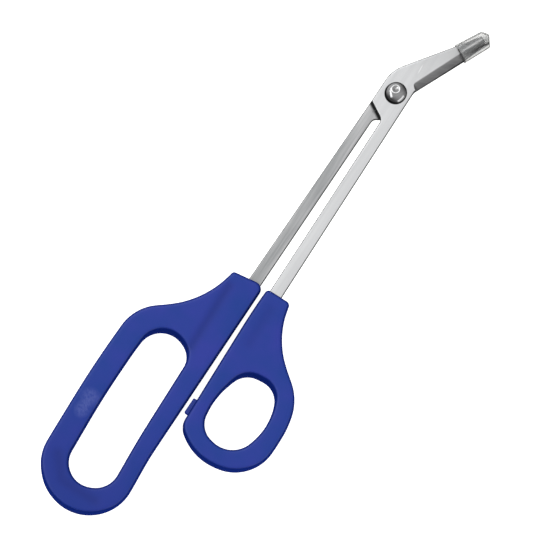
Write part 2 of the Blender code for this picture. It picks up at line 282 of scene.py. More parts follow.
def without_flat_points(loop):
    """The loop without nearly doubled points and points in the middle of a straight run."""
    loop = loop[norm(np.roll(loop, -1, axis=0) - loop, axis=1) > NEAREST]
    before = loop - np.roll(loop, 1, axis=0)
    after = np.roll(loop, -1, axis=0) - loop
    turn = before[:, 0] * after[:, 1] - before[:, 1] * after[:, 0]
    turn /= norm(before, axis=1) * norm(after, axis=1)
    return loop[np.abs(turn) > math.sin(STRAIGHT)]


class Outline:
    """A closed line: its points, and the direction in which it passes through each."""

    def __init__(self, spots, ways):
        self.spots = spots
        self.ways = ways / norm(ways, axis=1)[:, None]

    def backwards(self):
        return Outline(self.spots[::-1], -self.ways[::-1])

    def inset(self, distance):
        """The points moved sideways, to the left of the line."""
        return self.spots + distance * np.column_stack((-self.ways[:, 1], self.ways[:, 0]))


class Cornered:
    """A convex outline of straight sides that keeps its corners round as it moves inwards."""

    def __init__(self, corners, side_steps, corner_steps, least_radius):
        self.corners = [Vector(corner[:2]) for corner in corners]
        self.radii = [corner[2] for corner in corners]
        self.side_steps, self.corner_steps = side_steps, corner_steps
        self.least_radius = least_radius
        self.spots = self.inset(0)

    def inset(self, distance):
        """The outline moved sideways into the material, with the same number of points."""
        count = len(self.corners)
        along = [(self.corners[(i + 1) % count] - self.corners[i]).normalized()
                 for i in range(count)]
        arcs = []
        for index, corner in enumerate(self.corners):
            before, after = along[index - 1], along[index]
            turn = before.angle_signed(after) * -1
            radius = max(self.radii[index] - distance, self.least_radius)
            reach = (distance + radius) * math.tan(turn / 2)
            centre = corner + after * reach + Vector((-after.y, after.x)) * (distance + radius)
            start = Vector((before.y, -before.x)) * radius
            arcs.append([centre + Matrix.Rotation(turn * step / self.corner_steps, 2) @ start
                         for step in range(self.corner_steps + 1)])
        spots = []
        for index, points in enumerate(arcs):
            spots += points
            leave, arrive = points[-1], arcs[(index + 1) % count][0]
            spots += [leave.lerp(arrive, step / self.side_steps)
                      for step in range(1, self.side_steps)]
        return np.array(spots)


def smooth_outline(loop):
    """A smooth curve through the loop's points, in equal steps. Long runs stay straight,
    because each point's direction leans towards its longer neighbour."""
    after = np.roll(loop, -1, axis=0) - loop
    lengths = norm(after, axis=1)
    heading = after + np.roll(after, 1, axis=0)
    heading /= norm(heading, axis=1)[:, None]
    spots, ways = [], []
    for index, length in enumerate(lengths):
        follower = (index + 1) % len(loop)
        start, end = loop[index], loop[follower]
        leave, arrive = length * heading[index], length * heading[follower]
        for share in np.arange(math.ceil(length / STEP)) / math.ceil(length / STEP):
            square, cube = share ** 2, share ** 3
            spots.append((2 * cube - 3 * square + 1) * start + (cube - 2 * square + share) * leave
                         + (3 * square - 2 * cube) * end + (cube - square) * arrive)
            ways.append((6 * square - 6 * share) * (start - end)
                        + (3 * square - 4 * share + 1) * leave + (3 * square - 2 * share) * arrive)
    return Outline(np.array(spots), np.array(ways))


def smooth_outlines(loops):
    """Smooth outlines with the outer one counter-clockwise and the holes clockwise, so that
    the material is on the left."""
    outlines = []
    for index, loop in enumerate(loops):
        outline = smooth_outline(loop)
        wrong_way = (loop_area(loop) > 0) != (index == 0)
        outlines.append(outline.backwards() if wrong_way else outline)
    return outlines


def batches(count):
    """Slices that cover so many points, a few hundred at a time."""
    return [slice(first, first + BATCH) for first in range(0, count, BATCH)]


def distance_to(outlines, spots):
    """Each spot's distance to the nearest outline."""
    nearest = np.full(len(spots), np.inf)
    for outline in outlines:
        start = outline.spots
        run = np.roll(start, -1, axis=0) - start
        squared = (run ** 2).sum(axis=1)
        for part in batches(len(spots)):
            away = spots[part, None, :] - start
            share = np.clip((away * run).sum(axis=2) / squared, 0, 1)
            gap = norm(away - share[:, :, None] * run, axis=2).min(axis=1)
            nearest[part] = np.minimum(nearest[part], gap)
    return nearest


def inside(loops, spots):
    """Whether each spot is in the material: it is inside an odd number of loops."""
    odd = np.zeros(len(spots), bool)
    for loop in loops:
        after = np.roll(loop, -1, axis=0)
        for part in batches(len(spots)):
            x, y = spots[part, 0, None], spots[part, 1, None]
            spans = (loop[:, 1] > y) != (after[:, 1] > y)
            rise = np.where(spans, after[:, 1] - loop[:, 1], 1.0)
            crossing = loop[:, 0] + (y - loop[:, 1]) * (after[:, 0] - loop[:, 0]) / rise
            odd[part] ^= (spans & (x < crossing)).sum(axis=1) % 2 == 1
    return odd


# -------- plates

def edge_profile(round_across, round_down, draft, height, steps):
    """(inset, drop) points of a moulded edge, from the rim's widest line to the face. The
    drop is measured down from the face, and height is the rim's widest line's drop."""
    points = [(0.0, height)]
    for step in range(steps + 1):
        angle = math.pi / 2 * step / steps
        points.append((
            draft + round_across * (1 - math.cos(angle)), round_down * (1 - math.sin(angle))))
    return points


def fill_points(outlines, rim, spacing, support):
    """Points in the face inside the rim: one line of support close to it, then a grid."""
    loops = [outline.spots for outline in outlines]
    low, high = np.vstack(loops).min(axis=0), np.vstack(loops).max(axis=0)
    across, up = np.meshgrid(
        np.arange(low[0], high[0], spacing), np.arange(low[1], high[1], spacing * GRID_ROW))
    across = across + spacing / 2 * (np.arange(len(across)) % 2)[:, None]
    grid = np.column_stack((across.ravel(), up.ravel()))
    grid = grid[inside(loops, grid)]
    grid = grid[distance_to(outlines, grid) > rim + support + spacing * GRID_CLEAR]
    lines = [grid]
    if support:
        line = np.vstack([outline.inset(rim + support) for outline in outlines])
        lines.insert(0, line[distance_to(outlines, line) > rim + support * SUPPORT_CLEAR])
    return np.vstack(lines)


def face_triangles(rims, extra):
    """Triangles that fill the rims, holes left open, as indices into rims then extra."""
    spots = np.vstack(rims + [extra])
    links, first = [], 0
    for rim in rims:
        links += [(first + i, first + (i + 1) % len(rim)) for i in range(len(rim))]
        first += len(rim)
    made = geometry.delaunay_2d_cdt([Vector(spot) for spot in spots / MM], links, [], 1, 1e-6)
    source = [original[0] for original in made[3]]
    triangles = np.array([[source[corner] for corner in face] for face in made[2]])
    middles = spots[triangles].mean(axis=1)
    triangles = triangles[inside(rims, middles)]
    a, b, c = (spots[triangles[:, k]] for k in range(3))
    area = (b[:, 0] - a[:, 0]) * (c[:, 1] - a[:, 1]) - (b[:, 1] - a[:, 1]) * (c[:, 0] - a[:, 0])
    triangles[area < 0] = triangles[area < 0][:, ::-1]
    return triangles[np.abs(area) > NO_AREA]


def in_scene(name, data):
    """A new object in the scene."""
    made = bpy.data.objects.new(name, data)
    bpy.context.scene.collection.objects.link(made)
    return made


def from_faces(name, spots, faces):
    mesh = bpy.data.meshes.new(name)
    mesh.from_pydata(spots, [], faces)
    mesh.validate()
    return in_scene(name, mesh)


def from_bmesh(name, shape):
    """A new object of a bmesh, which is used up."""
    mesh = bpy.data.meshes.new(name)
    shape.to_mesh(mesh)
    shape.free()
    return in_scene(name, mesh)


def make_plate(name, outlines, low, high, back, face, grid, support=0.0):
    """A solid plate with shaped edges. back and face are edge profiles: (inset, drop) from
    the widest line, which they share, to the low face and to the high face."""
    rows = [(inset, low + drop) for inset, drop in reversed(back)]
    widest = rows[-1][1] + WELD
    rows += [(inset, high - drop) for inset, drop in face if high - drop > widest]
    spots, quads, rings = [], [], []
    for outline in outlines:
        count = len(outline.spots)
        start = sum(len(part) for part in spots)
        for inset, height in rows:
            ring = outline.inset(inset)
            spots.append(np.column_stack((ring, np.full(count, height))))
        index = np.arange(count)
        for row in range(len(rows) - 1):
            here, above = start + row * count, start + (row + 1) * count
            quads.append(np.column_stack((
                here + index, here + (index + 1) % count,
                above + (index + 1) % count, above + index)))
        rings.append((start, start + (len(rows) - 1) * count, count))
    faces = [tuple(quad) for part in quads for quad in part.tolist()]
    for end, (inset, height) in ((0, rows[0]), (1, rows[-1])):
        rims = [outline.inset(inset) for outline in outlines]
        extra = fill_points(outlines, inset, grid, support)
        triangles = face_triangles(rims, extra)
        numbers = np.concatenate(
            [np.arange(ring[2]) + ring[end] for ring in rings]
            + [np.arange(len(extra)) + sum(len(part) for part in spots)])
        spots.append(np.column_stack((extra, np.full(len(extra), height))))
        triangles = numbers[triangles]
        faces += [tuple(face) for face in (triangles if end else triangles[:, ::-1]).tolist()]
    return from_faces(name, np.vstack(spots).tolist(), faces)


def points_of(mesh):
    spots = np.empty(len(mesh.vertices) * 3)
    mesh.vertices.foreach_get("co", spots)
    return spots.reshape(-1, 3)


def move_points(mesh, spots):
    mesh.vertices.foreach_set("co", spots.ravel())
    mesh.update()


def note(piece, name, values):
    """Store a number for each point, for the piece's material to read."""
    stored = piece.data.attributes.new(name, "FLOAT", "POINT")
    stored.data.foreach_set("value", values.astype(np.float32))


def nearness(piece, outlines, reach):
    """How close each point is to the outlines: 1 on them, and 0 at reach or further."""
    return np.clip(1 - distance_to(outlines, points_of(piece.data)[:, :2]) / reach, 0, 1)


def apply_modifiers(piece):
    """Turn a piece and its modifiers into a plain mesh."""
    depsgraph = bpy.context.evaluated_depsgraph_get()
    old = piece.data
    piece.data = bpy.data.meshes.new_from_object(piece.evaluated_get(depsgraph))
    piece.modifiers.clear()
    bpy.data.meshes.remove(old)


def boolean(piece, tool, operation):
    """Cut a piece with a tool or join the two, and use the tool up."""
    change = piece.modifiers.new("cut", "BOOLEAN")
    change.operation = operation
    change.object = tool
    change.material_mode = "TRANSFER"
    apply_modifiers(piece)
    bpy.data.objects.remove(tool)


def shade(piece, sharp_from):
    """Smooth shading, but for edges that turn by at least so many degrees."""
    piece.data.shade_smooth()
    piece.data.set_sharp_from_angle(angle=math.radians(sharp_from))


def give(piece, *materials):
    for material in materials:
        piece.data.materials.append(material)


def paint_walls(piece, upright):
    """Give the second material to the faces that lean upwards by less than upright."""
    for face in piece.data.polygons:
        if face.material_index == 0 and abs(face.normal.z) < upright:
            face.material_index = 1


def stands_for(piece, node, body):
    """The refined piece rides on its body and replaces its CAD node."""
    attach(piece, body)
    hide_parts(node)


# -------- turned pieces

def arc(centre, radius, start, end, steps):
    """(x, y) points of an arc, between two angles in degrees."""
    turn = [math.radians(start + (end - start) * step / steps) for step in range(steps + 1)]
    return [(centre[0] + radius * math.cos(a), centre[1] + radius * math.sin(a)) for a in turn]


def make_turned(name, profile, closed=False, sides=TURNED_SIDES):
    """A round piece on the Z axis from (radius, height) points that run down its outside."""
    rows, spots = [], []
    for radius, height in profile:
        if radius < TINY:
            rows.append([len(spots)])
            spots.append((0, 0, height))
            continue
        rows.append(list(range(len(spots), len(spots) + sides)))
        for side in range(sides):
            angle = 2 * math.pi * side / sides
            spots.append((radius * math.cos(angle), radius * math.sin(angle), height))
    if closed:
        rows.append(rows[0])
    faces = []
    for upper, lower in zip(rows, rows[1:]):
        for side in range(sides):
            after = (side + 1) % sides
            corners = [upper[side % len(upper)], lower[side % len(lower)],
                       lower[after % len(lower)], upper[after % len(upper)]]
            faces.append(tuple(dict.fromkeys(corners)))
    return from_faces(name, spots, faces)


# -------- materials

class Nodes:
    """Short names for building a tree of shader nodes."""

    def __init__(self, tree, coordinates):
        self.tree = tree
        self.place = self.node("ShaderNodeTexCoord").outputs[coordinates]

    def node(self, kind, **settings):
        return self.set_up(self.tree.nodes.new(kind), **settings)

    def set_up(self, node, **settings):
        """Set a node's sockets, whose names have a capital, and its own settings."""
        for name, value in settings.items():
            if name[0].isupper():
                self.feed(node.inputs[name.replace("_", " ")], value)
            else:
                setattr(node, name, value)
        return node

    def feed(self, socket, value):
        """Link another node's output to a socket, or set the socket's constant value."""
        if isinstance(value, bpy.types.NodeSocket):
            self.tree.links.new(value, socket)
        else:
            socket.default_value = value

    def ranged(self, value, low, high, to_low, to_high, **settings):
        """A value between low and high, moved to between two others."""
        made = self.node("ShaderNodeMapRange", clamp=True, Value=value, From_Min=low,
                         From_Max=high, To_Min=to_low, To_Max=to_high, **settings)
        return made.outputs["Result"]

    def math(self, operation, first, second):
        made = self.node("ShaderNodeMath", operation=operation)
        self.feed(made.inputs[0], first)
        self.feed(made.inputs[1], second)
        return made.outputs["Value"]

    def times(self, first, second):
        return self.math("MULTIPLY", first, second)

    def along(self, direction):
        """How far the point is along a direction."""
        made = self.node("ShaderNodeVectorMath", operation="DOT_PRODUCT")
        self.feed(made.inputs[0], self.place)
        self.feed(made.inputs[1], direction)
        return made.outputs["Value"]


class Painter(Nodes):
    """One material's nodes, in the object's own coordinates."""

    def __init__(self, name):
        self.material = bpy.data.materials.new(name)
        self.material.use_nodes = True
        super().__init__(self.material.node_tree, "Object")

    def moved(self, vector, kind="POINT", **settings):
        made = self.node("ShaderNodeMapping", vector_type=kind, Vector=vector, **settings)
        return made.outputs["Vector"]

    def stretch(self, scale, turn=0.0):
        """The object's coordinates, turned about Z and then scaled in each direction."""
        return self.moved(self.moved(self.place, Rotation=(0, 0, turn)), Scale=scale)

    def noise(self, vector, detail, rough=0.5, scale=1):
        made = self.node("ShaderNodeTexNoise", Vector=vector, Scale=scale, Detail=detail,
                         Roughness=rough)
        return made.outputs["Fac"]

    def patch(self, place, turn=0.0, core=0.55):
        """1 in the core of an oval on the XY plane, fading to 0 at its edge."""
        (x, y), (wide, long) = place
        away = self.moved(self.place, "TEXTURE", Location=(x * MM, y * MM, MID_HEIGHT),
                          Rotation=(0, 0, turn), Scale=(wide * MM, long * MM, 1.0))
        length = self.node("ShaderNodeVectorMath", operation="LENGTH", Vector=away)
        return self.ranged(length.outputs["Value"], core, 1.0, 1.0, 0.0)

    def blend(self, share, first, second):
        """A colour between two, each a colour or another node's output."""
        made = self.node("ShaderNodeMix", data_type="RGBA", Factor=share)
        for socket, color in zip([s for s in made.inputs if s.type == "RGBA"], (first, second)):
            self.feed(socket, (*color, 1) if isinstance(color, tuple) else color)
        return [s for s in made.outputs if s.type == "RGBA"][0]

    def attribute(self, name):
        return self.node("ShaderNodeAttribute", attribute_name=name).outputs["Fac"]

    def bump(self, height, distance, strength, **settings):
        made = self.node("ShaderNodeBump", Height=height, Distance=distance, Strength=strength,
                         **settings)
        return made.outputs["Normal"]

    def finish(self, **settings):
        """Set up the shader, and hand over the material."""
        self.set_up(self.tree.nodes["Principled BSDF"], **settings)
        return self.material


def blue_plastic(name, gloss, edge_color, rubbed=False):
    """Moulded blue plastic: faint mottling, a fine satin grain, painted shade in the hollows,
    at the loops' far ends and at the edges, and on one handle faintly rubbed spots. gloss is
    the specular level."""
    paint = Painter(name)
    cloud = paint.noise(paint.place, scale=55, detail=3)
    color = paint.blend(paint.ranged(cloud, 0.35, 0.65, 0, 1), *BLUE)
    # painted shade, growing towards the loops' far ends
    far = paint.ranged(paint.along((0, -1, 0)), 150 * MM, 200 * MM, 0, 0.75)
    color = paint.blend(far, color, BLUE_FAR)
    # painted shade in the moulding hollows
    color = paint.blend(paint.times(paint.attribute("hollow"), 0.75), color, BLUE_HOLLOW)
    # painted shade towards the outlines
    edge = paint.ranged(paint.attribute("rim"), 0.42, 0.76, 0, 1)
    color = paint.blend(edge, color, edge_color)
    grain = paint.noise(paint.place, scale=2600, detail=2, rough=0.6)
    ripple = paint.noise(paint.place, scale=90, detail=2)
    satin = paint.noise(paint.place, scale=240, detail=4, rough=0.6)
    roughness = paint.ranged(satin, 0.3, 0.7, 0.38, 0.50)
    normal = paint.bump(ripple, distance=0.05 * MM, strength=0.6)
    normal = paint.bump(grain, distance=0.006 * MM, strength=0.7, Normal=normal)
    if rubbed:
        wisps = paint.noise(paint.stretch((640, 900, 400), math.radians(40)), detail=5, rough=0.75)
        rubs = paint.math("ADD", paint.patch(RUBBED_HIGH, core=0.3),
                          paint.patch(RUBBED_LOW, core=0.3))
        rubs = paint.times(rubs, paint.ranged(paint.along(UP), *RUBBED_HEIGHTS, 0, 1))
        worn = paint.times(paint.ranged(wisps, 0.38, 0.70, 0.14, 0.62), rubs)
        color = paint.blend(worn, color, BLUE_WORN)
        roughness = paint.math("ADD", roughness, paint.times(worn, 0.2))
    return paint.finish(Base_Color=color, Roughness=roughness, Normal=normal, IOR=1.46,
                        Specular_IOR_Level=gloss)


def steel(name, dark, light, rough, turn=0.0, streak=1.0, calm=1.0, shaded_to_tip=0.0,
          scratched=False, rivet_shadowed=False, shadowed_beside=False, shallow_color=None, grazing=1.0):
    """Stainless steel with fine lines that run along Y, turned about Z. calm above 1 lessens
    the streaks' contrast. A blade may darken towards its tip, as painted shade where its taper
    leans away. Steel may have a bright scratch on the blade, a painted shadow as a dark ring
    round the pivot, and a painted shadow beside the arm that covers it. A grind's dark colour
    is a painted reflection, which fades to shallow_color where the grind runs out. grazing
    below 1 dims what the steel reflects near its outline."""
    paint = Painter(name)
    lines = paint.noise(paint.stretch((2600, 45, 500), turn), detail=4, rough=0.65)
    broad = paint.noise(paint.stretch((520, 14, 200), turn), detail=3, rough=0.6)
    cloud = paint.noise(paint.place, scale=28, detail=2)
    tone = paint.math("ADD", paint.times(lines, 0.45 * streak), paint.times(broad, 0.55))
    tone = paint.math("ADD", tone, paint.times(cloud, 0.35))
    middle = (0.45 * streak + 0.55 + 0.35) / 2
    spread = 0.16 * calm
    color = paint.blend(paint.ranged(tone, middle - spread, middle + spread, 0, 1), dark, light)
    roughness = paint.ranged(broad, 0.3, 0.7, rough - 0.05, rough + 0.06)
    # painted shade: the blade darkens towards its tip, where its tapered face leans away
    if shaded_to_tip:
        towards_tip = paint.ranged(paint.along(BLADE_WAY), 8 * MM, 32 * MM, 0, shaded_to_tip)
        color = paint.blend(towards_tip, color, (0.0,) * 3)
    if scratched:
        mark = paint.times(paint.patch(SCRATCH, math.radians(4)), 0.5)
        color = paint.blend(mark, color, SCRATCHED)
    # painted shadow of the rivet's head on the plate, as a dark ring a little off centre
    if rivet_shadowed:
        color = paint.blend(paint.patch(RIVET_SHADOW, core=0.955), color, PAINTED_SHADOW)
    # painted reflection: the grind's dark colour fades out where the grind is shallow
    if shallow_color:
        fading = paint.times(paint.attribute("shallow"), 0.8)
        color = paint.blend(fading, color, shallow_color)
    # painted shadow on the rear arm, beside the front arm that covers it
    if shadowed_beside:
        shadow_beside = paint.ranged(paint.attribute("shadow_beside"), 0.10, 0.62, 0, 0.97)
        color = paint.blend(shadow_beside, color, PAINTED_SHADOW)
    normal = paint.bump(lines, distance=0.004 * MM, strength=0.8 * streak)
    return paint.finish(Base_Color=color, Roughness=roughness, Normal=normal, Metallic=1.0,
                        Specular_Tint=(grazing, grazing, grazing, 1))


def clear_plastic(name, dark, light, clear, side_color):
    """Soft clear plastic, in streaks along the guard, clean at its sides, and with one cloudy
    band. It carries painted dusky patches, which stand for the blade's dark grind seen through
    the curved side, and painted shade along the fold. clear is the share of light that a
    surface lets through where it is not cloudy, and half of that goes through where it is."""
    paint = Painter(name)
    streaks = paint.noise(paint.stretch((620, 70, 620), GUARD_TILT), detail=4, rough=0.6)
    color = paint.blend(paint.ranged(streaks, 0.38, 0.62, 0, 1), dark, light)
    side = paint.ranged(paint.attribute("rim"), 0.25, 0.75, 0, 1)
    color = paint.blend(side, color, side_color)
    # painted: the blade's dark grind as seen through the curved side
    for place, share in GUARD_DUSKS:
        dusk = paint.patch(place, -GUARD_TILT, core=0.2)
        color = paint.blend(paint.times(dusk, share), color, DUSK)
    # painted shade along the fold
    color = paint.blend(paint.times(paint.attribute("fold"), 0.9), color, FOLD_SHADE)
    roughness = paint.ranged(streaks, 0.3, 0.7, 0.07, 0.17)
    normal = paint.bump(streaks, distance=0.03 * MM, strength=0.7)
    cloudy = paint.times(paint.patch(GUARD_CLOUD, -GUARD_TILT, core=0.1),
                        paint.ranged(streaks, 0.3, 0.6, 0.4, 1.0))
    return paint.finish(Base_Color=color, Roughness=roughness, Normal=normal, IOR=1.45,
                        Transmission_Weight=paint.ranged(cloudy, 0, 1, clear, clear / 2))


def light_table(name):
    """Matt white acrylic, lit softly from below."""
    paint = Painter(name)
    cloud = paint.noise(paint.place, scale=40, detail=3)
    color = paint.blend(cloud, (0.78, 0.78, 0.77), (0.80, 0.80, 0.79))
    return paint.finish(Base_Color=color, Roughness=paint.ranged(cloud, 0, 1, 0.85, 0.95),
                        Emission_Color=(1.0, 1.0, 0.985, 1), Emission_Strength=0.95)


# -------- steel arms

def arm_outline(node, side):
    """The arm's smooth outline and holes, from a section just behind its whole inner face.
    side is 1 for the arm whose outer face is on top and -1 for the other."""
    low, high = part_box(node)
    height = low.z + WHOLE_LAYER if side > 0 else high.z - WHOLE_LAYER
    return smooth_outlines(section_loops(node, height))


def make_wheel(name, edge, side, face):
    """The grinding wheel that hollows a blade beside its cutting edge, rounded at its rim."""
    heel, tip = edge
    along = (tip - heel).normalized()
    across = Vector((along.y, -along.x, 0)) * side
    start = heel + along * GRIND_START + across * GRIND_OUTSIDE
    start += Vector((0, 0, face + side * GRIND_ABOVE))
    path = (along + Vector((0, 0, -side * TAPER_SLOPE))).normalized()
    half = GRIND_LENGTH / 2
    rim = arc((GRIND_R - GRIND_ROUND, half - GRIND_ROUND), GRIND_ROUND, 90, 0, steps=10)
    low_rim = [(radius, -height) for radius, height in reversed(rim)]
    wheel = make_turned(name, [(0, half)] + rim + low_rim + [(0, -half)], sides=GRIND_SIDES)
    turn = path.to_track_quat("Z", "Y").to_matrix().to_4x4()
    wheel.data.transform(Matrix.Translation(start + path * half) @ turn)
    return wheel


def make_arm(node, outlines, edge, side, finish, ground_shaded, sheared_shaded):
    """One steel arm: flat blank with broken edges, tapered blade and hollow grind."""
    low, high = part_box(node)
    thick = high.z - low.z
    inner, outer = (low.z, high.z) if side > 0 else (high.z, low.z)
    break_edge = edge_profile(STEEL_EDGE, STEEL_EDGE, 0, thick / 2, steps=5)
    arm = make_plate(node + "_blank", outlines, low.z, high.z, break_edge, break_edge,
                     STEEL_GRID, support=STEEL_EDGE)
    spots = points_of(arm.data)
    thinner = 1 - taper(spots) / thick
    spots[:, 2] = inner + (spots[:, 2] - inner) * thinner
    move_points(arm.data, spots)
    give(arm, finish, sheared_shaded)
    wheel = make_wheel(node + "_wheel", edge, side, outer)
    give(wheel, ground_shaded)
    boolean(arm, wheel, "DIFFERENCE")
    spots = points_of(arm.data)
    ground_away = thick - taper(spots) - np.abs(spots[:, 2] - inner)
    note(arm, "shallow", np.clip(1 - ground_away / GRIND_SOFT, 0, 1))
    # walls and broken edges take the sheared steel, which is partly painted shade
    paint_walls(arm, STEEL_UPRIGHT)
    shade(arm, 20)
    return arm


def taper(spots):
    """How much thinner a blade is at each spot."""
    return np.clip(spots @ np.array(BLADE_WAY) - TAPER_START, 0, None) * TAPER_SLOPE


def build_arms():
    """Both arms. Returns their outlines, rear and front."""
    rear_steel = steel("rear_brushed_steel", (0.25, 0.26, 0.265), (0.52, 0.52, 0.525), 0.36,
                       shadowed_beside=True)
    front_steel = steel("front_satin_steel", (0.565, 0.57, 0.58), (0.69, 0.695, 0.70), 0.34,
                        streak=0.5, calm=1.8, shaded_to_tip=0.26, scratched=True, rivet_shadowed=True)
    # painted reflection: the hollow grind gets a dark steel colour for the dark surroundings it
    # mirrors; its streaks are the ground finish
    ground_shaded = steel("ground_steel_painted_dark", (0.11, 0.11, 0.112), (0.18, 0.18, 0.182), 0.40,
                   turn=math.radians(60), streak=0.9, shallow_color=(0.45,) * 3)
    # the arms' walls and broken edges: rough sheared steel, darkened further as painted shade
    sheared_shaded = steel("sheared_shaded_steel", (0.035, 0.035, 0.036), (0.07, 0.07, 0.072), 0.45,
                    streak=0.4, grazing=0.2)
    rear_lines, front_lines = arm_outline("rear_arm", -1), arm_outline("front_arm", 1)
    rear = make_arm("rear_arm", rear_lines, REAR_EDGE, -1, rear_steel, ground_shaded, sheared_shaded)
    front = make_arm("front_arm", front_lines, FRONT_EDGE, 1, front_steel, ground_shaded, sheared_shaded)
    # painted shadow beside the front arm, on the rear arm's top face only
    covered = points_of(rear.data)[:, 2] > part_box("rear_arm")[1].z - STEEL_EDGE
    note(rear, "shadow_beside", covered * nearness(rear, front_lines, SHADOW_BESIDE_REACH))
    stands_for(rear, "rear_arm", "finger_side")
    stands_for(front, "front_arm", "thumb_side")
    return rear_lines, front_lines


# -------- handles

def sink(spots, top, marks):
    """Lower the front face along shallow moulding hollows. Returns each point's share of the
    deepest hollow."""
    on_face = spots[:, 2] > top - SINK_BELOW
    deepest = np.zeros(len(spots))
    for start, end, radius, depth in marks:
        start, end = np.array(start) * MM, np.array(end) * MM
        run = end - start
        away = spots[:, :2] - start
        share = np.clip(away @ run / (run @ run), 0, 1)
        gap = norm(away - share[:, None] * run, axis=1)
        deepest = np.maximum(deepest, on_face * depth * np.exp(-(gap / (radius * MM)) ** 2))
    spots[:, 2] -= deepest * MM
    return deepest / SINK_DEEPEST


def slant_end(spots, outline, towards, amount, low, high):
    """Lean an outline's walls, at its end towards +Y (1) or -Y (-1), so that they show from
    the front. The back edge stays, and the front edge moves towards +Y."""
    y = spots[:, 1] * towards
    from_end = (outline.spots[:, 1] * towards).max() - y
    near_end = np.clip((SLANT_NONE - from_end) / (SLANT_NONE - SLANT_FULL), 0, 1)
    near_wall = np.clip(1 - distance_to([outline], spots[:, :2]) / SLANT_REACH, 0, 1)
    raised = np.clip((spots[:, 2] - low) / (high - low), 0, 1)
    ease = near_end ** 2 * (3 - 2 * near_end) * near_wall ** 2 * (3 - 2 * near_wall)
    spots[:, 1] += amount * raised * ease


def make_handle(node, arm_node, arm_outlines, marks, finish, wall_finish):
    """A moulded handle with rounded edges, a slightly swollen face and a socket for its tang."""
    low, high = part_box(node)
    outlines = smooth_outlines(section_loops(node, low.z + SECTION_ABOVE_BACK))
    half = (high.z - low.z) / 2
    back = edge_profile(HANDLE_BACK_ROUND, HANDLE_BACK_ROUND, HANDLE_DRAFT, half, steps=6)
    face = edge_profile(HANDLE_FACE_ROUND, HANDLE_FACE_DROP, HANDLE_DRAFT, half, steps=9)
    face[1:1] = [(0, half - PARTING_LINE), (PARTING_LINE, half - 2 * PARTING_LINE)]
    handle = make_plate(node + "_moulded", outlines, low.z, high.z, back, face,
                        HANDLE_GRID, support=HANDLE_SUPPORT)
    spots = points_of(handle.data)
    depth = distance_to(outlines, spots[:, :2])
    fall = np.clip(1 - depth / CROWN_REACH, 0, 1) ** 2
    upper = np.clip((spots[:, 2] - low.z - half) / half, 0, 1)
    spots[:, 2] -= CROWN * fall * upper
    note(handle, "hollow", sink(spots, high.z, marks))
    note(handle, "rim", nearness(handle, outlines, RIM_REACH))
    slant_end(spots, outlines[1], 1, SLANT_HOLE, low.z, high.z)
    slant_end(spots, outlines[0], -1, SLANT_OUTER, low.z, high.z)
    move_points(handle.data, spots)
    give(handle, finish, wall_finish)
    arm_low, arm_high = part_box(arm_node)
    wider = [Outline(outline.inset(-SOCKET_GAP), outline.ways) for outline in arm_outlines]
    square = [(0, SOCKET_GAP + (arm_high.z - arm_low.z) / 2), (0, 0)]
    tang = make_plate("tang_space", wider, arm_low.z - SOCKET_GAP, arm_high.z + SOCKET_GAP,
                      square, square, SOCKET_GRID)
    give(tang, wall_finish)
    boolean(handle, tang, "DIFFERENCE")
    paint_walls(handle, HANDLE_UPRIGHT)
    return handle


def make_lug():
    """The stop on the thumb handle's inner side: a small block with rounded edges."""
    shape = bmesh.new()
    bmesh.ops.create_cube(shape, size=1)
    bmesh.ops.scale(shape, vec=LUG_SIZE, verts=shape.verts)
    bmesh.ops.bevel(shape, geom=shape.edges, offset=LUG_EDGE, segments=6, profile=0.5,
                    affect="EDGES")
    bmesh.ops.translate(shape, vec=LUG_CENTRE, verts=shape.verts)
    return from_bmesh("lug", shape)


def build_handles(rear_lines, front_lines):
    """Both handles, and the stop lug as part of the thumb handle."""
    # the handles' walls: no gloss, and painted shade near the edges
    walls = blue_plastic("blue_plastic_walls", 0.0, BLUE_WALL_EDGE)
    rubbed = blue_plastic("blue_plastic_rubbed", 0.34, BLUE_EDGE, rubbed=True)
    plain = blue_plastic("blue_plastic", 0.34, BLUE_EDGE)
    finger = make_handle("finger_handle", "rear_arm", rear_lines, FINGER_SINKS, rubbed, walls)
    thumb = make_handle("thumb_handle", "front_arm", front_lines, THUMB_SINKS, plain, walls)
    lug = make_lug()
    give(lug, plain, walls)
    paint_walls(lug, HANDLE_UPRIGHT)
    boolean(thumb, lug, "UNION")
    for handle in (finger, thumb):
        shade(handle, 38)
    stands_for(finger, "finger_handle", "finger_side")
    stands_for(thumb, "thumb_handle", "thumb_side")


# -------- pivot

